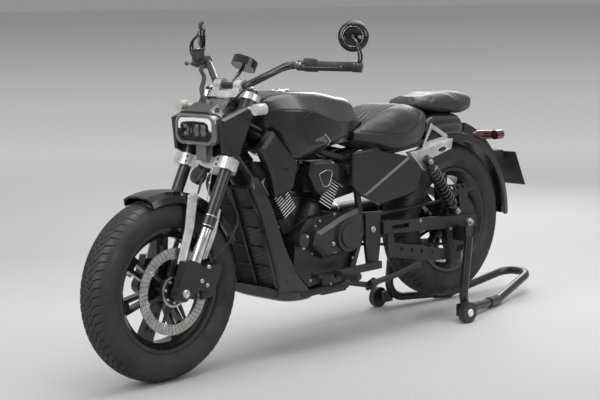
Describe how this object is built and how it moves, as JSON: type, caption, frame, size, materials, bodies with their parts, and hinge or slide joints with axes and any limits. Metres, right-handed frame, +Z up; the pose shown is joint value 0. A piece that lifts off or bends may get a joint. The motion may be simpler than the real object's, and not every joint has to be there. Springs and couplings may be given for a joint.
{
  "type": "cruiser motorcycle",
  "caption": "Compact cruiser motorcycle with a leaning V engine, flat twin seats and a belt drive, held upright at the rear by a paddock stand.",
  "frame": {"origin": "on the floor under the middle of the whole, motorcycle and paddock stand together", "axes": "+X towards the front wheel, +Y towards the rider's left, +Z up"},
  "size_m": [2.403, 0.892, 1.2239],
  "materials": {
    "front_tyre": "matt",
    "rear_tyre": "matt",
    "front_rim": "satin",
    "rear_rim": "satin",
    "front_disc": "satin",
    "rear_disc": "satin",
    "rear_pulley": "satin",
    "fork_clamps": "satin",
    "fork_tubes": "satin",
    "fork_legs": "satin",
    "front_axle": "satin",
    "handlebar": "satin",
    "grips": "matt",
    "bar_controls": "satin",
    "mirrors": "gloss",
    "front_fender": "satin",
    "fender_stays": "satin",
    "headlight": "gloss",
    "headlight_cowl": "satin",
    "fork_shrouds": "satin",
    "instrument": "gloss",
    "front_indicators": "gloss",
    "front_caliper": "satin",
    "rear_caliper": "satin",
    "frame": "satin",
    "crankcase": "satin",
    "cylinders": "satin",
    "head_covers": "satin",
    "radiator": "matt",
    "radiator_shroud": "satin",
    "fuel_tank": "satin",
    "rider_seat": "matt",
    "pillion_seat": "matt",
    "tail_cowl": "satin",
    "side_covers": "satin",
    "front_covers": "satin",
    "subframe_castings": "satin",
    "swingarm": "satin",
    "shock_absorbers": "satin",
    "rear_axle": "satin",
    "rear_fender": "satin",
    "number_plate": "matt",
    "tail_lights": "gloss",
    "drive_belt": "matt",
    "exhaust": "satin",
    "foot_controls": "satin",
    "side_stand": "satin",
    "paddock_stand": "satin",
    "control_cables": "matt",
    "brake_hose": "matt",
    "stand_roller_left": "matt",
    "stand_roller_right": "matt"
  },
  "bodies": {
    "chassis": {"rear_caliper": "rear_caliper", "frame": "frame", "crankcase": "crankcase", "cylinders": "cylinders", "head_covers": "head_covers", "radiator": "radiator", "radiator_shroud": "radiator_shroud", "fuel_tank": "fuel_tank", "rider_seat": "rider_seat", "pillion_seat": "pillion_seat", "tail_cowl": "tail_cowl", "side_covers": "side_covers", "front_covers": "front_covers", "subframe_castings": "subframe_castings", "swingarm": "swingarm", "shock_absorbers": "shock_absorbers", "rear_axle": "rear_axle", "rear_fender": "rear_fender", "number_plate": "number_plate", "tail_lights": "tail_lights", "drive_belt": "drive_belt", "exhaust": "exhaust", "foot_controls": "foot_controls", "paddock_stand": "paddock_stand"},
    "steering": {"fork_clamps": "fork_clamps", "fork_tubes": "fork_tubes", "fork_legs": "fork_legs", "front_axle": "front_axle", "handlebar": "handlebar", "grips": "grips", "bar_controls": "bar_controls", "mirrors": "mirrors", "front_fender": "front_fender", "fender_stays": "fender_stays", "headlight": "headlight", "headlight_cowl": "headlight_cowl", "fork_shrouds": "fork_shrouds", "instrument": "instrument", "front_indicators": "front_indicators", "front_caliper": "front_caliper", "control_cables": "control_cables", "brake_hose": "brake_hose"},
    "front_wheel": {"front_tyre": "front_tyre", "front_rim": "front_rim", "front_disc": "front_disc"},
    "rear_wheel": {"rear_tyre": "rear_tyre", "rear_rim": "rear_rim", "rear_disc": "rear_disc", "rear_pulley": "rear_pulley"},
    "left_roller": {"stand_roller_left": "stand_roller_left"},
    "right_roller": {"stand_roller_right": "stand_roller_right"},
    "side_stand": {"side_stand": "side_stand"}
  },
  "joints": [
    {"name": "steering_head", "type": "hinge", "parent": "chassis", "child": "steering", "pos_m": [0.83407, 0, 0.29635], "axis": [-0.4462, 0, 0.8949], "range_deg": [-33, 33]},
    {"name": "front_wheel_spin", "type": "hinge", "parent": "steering", "child": "front_wheel", "pos_m": [0.8815, 0, 0.32], "axis": [0, 1, 0], "continuous": true},
    {"name": "rear_wheel_spin", "type": "hinge", "parent": "chassis", "child": "rear_wheel", "pos_m": [-0.6385, 0, 0.388], "axis": [0, 1, 0], "continuous": true},
    {"name": "left_roller_spin", "type": "hinge", "parent": "chassis", "child": "left_roller", "pos_m": [-0.5135, 0.24, 0.042], "axis": [0, 1, 0], "continuous": true},
    {"name": "right_roller_spin", "type": "hinge", "parent": "chassis", "child": "right_roller", "pos_m": [-0.5135, -0.24, 0.042], "axis": [0, 1, 0], "continuous": true},
    {"name": "side_stand_fold", "type": "hinge", "parent": "chassis", "child": "side_stand", "pos_m": [-0.0385, 0.148, 0.216], "axis": [0, -0.766, -0.6428], "range_deg": [0, 100]}
  ]
}
